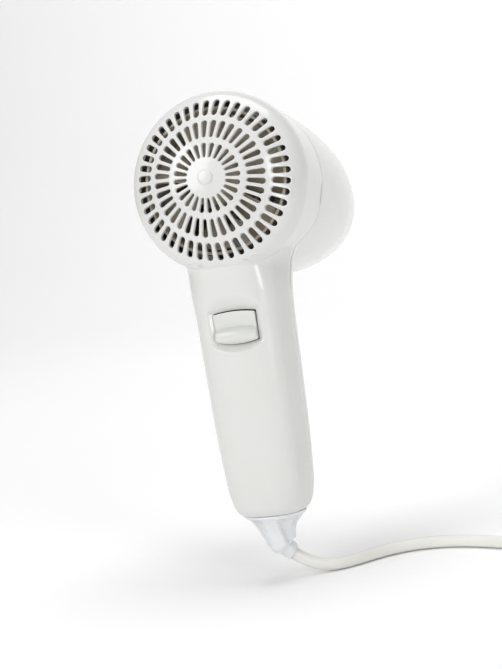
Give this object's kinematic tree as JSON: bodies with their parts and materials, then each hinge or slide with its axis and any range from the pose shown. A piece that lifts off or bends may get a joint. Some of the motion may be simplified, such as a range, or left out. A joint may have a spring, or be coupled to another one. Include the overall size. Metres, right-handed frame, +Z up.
{
  "type": "hair dryer",
  "caption": "Hand-held hair dryer: domed slotted air intake, tapering barrel, upright handle with a rocker switch, and a mains lead with plug.",
  "frame": {"origin": "middle of the hand grip, on the plane where the front and rear handle halves meet", "axes": "+Z up along the handle towards the barrel, +Y the way the air blows, +X to the right seen from the rear grille; the barrel leans 10 degrees nose-down from +Y"},
  "size_m": [0.3161, 0.1595, 0.2492],
  "materials": {
    "housing_white": "glossy moulded white",
    "relief_white": "hard moulded, slightly translucent white",
    "lead_white": "satin PVC sheath",
    "fan_taupe": "satin moulded taupe",
    "black_plastic": "satin moulded black",
    "steel": "zinc-plated",
    "brass": "stamped",
    "copper": "sintered bronze and copper winding",
    "ferrite": "sintered ferrite",
    "board": "paper laminate",
    "mica": "pressed mica sheet",
    "nichrome": "oxidised resistance wire",
    "wire_brown": "PVC insulation",
    "wire_blue": "PVC insulation",
    "wire_red": "silicone insulation"
  },
  "bodies": {
    "housing": {"rear_housing": "housing_white", "front_housing": "housing_white", "strain_relief": "relief_white", "rocker_pin": "steel", "switch_body": "black_plastic", "switch_tab_common": "brass", "switch_tab_low": "brass", "switch_tab_high": "brass", "housing_screw_upper": "steel", "housing_screw_lower": "steel", "fan_duct": "black_plastic", "motor_can": "steel", "motor_end_cap": "black_plastic", "bush_rear": "copper", "bush_front": "copper", "magnet_left": "ferrite", "magnet_right": "ferrite", "rectifier_board": "board", "diode_1": "black_plastic", "diode_2": "black_plastic", "diode_3": "black_plastic", "diode_4": "black_plastic", "heat_shield": "mica", "mica_board_flat": "mica", "mica_board_upright": "mica", "element_low": "nichrome", "element_high": "nichrome", "thermostat": "steel", "thermal_fuse": "black_plastic", "outlet_grille": "black_plastic", "cord": "lead_white", "cord_coil": "lead_white", "plug_body": "lead_white", "plug_blade_left": "brass", "plug_blade_right": "brass", "cord_inside": "lead_white", "cord_clamp": "black_plastic", "clamp_screw_left": "steel", "clamp_screw_right": "steel", "core_live": "wire_brown", "core_neutral": "wire_blue", "wire_low": "wire_red", "wire_high": "wire_red"},
    "rotor": {"fan": "fan_taupe", "motor_shaft": "steel", "armature": "copper"},
    "rocker": {"rocker": "housing_white"}
  },
  "joints": [
    {"name": "fan_spin", "type": "hinge", "parent": "housing", "child": "rotor", "pos_m": [0, -0.02, 0.107], "axis": [0, 0.9848, -0.1736], "continuous": true},
    {"name": "rocker_tilt", "type": "hinge", "parent": "housing", "child": "rocker", "pos_m": [0, -0.0134, 0.033], "axis": [1, 0, 0], "range_deg": [-8, 8]}
  ]
}
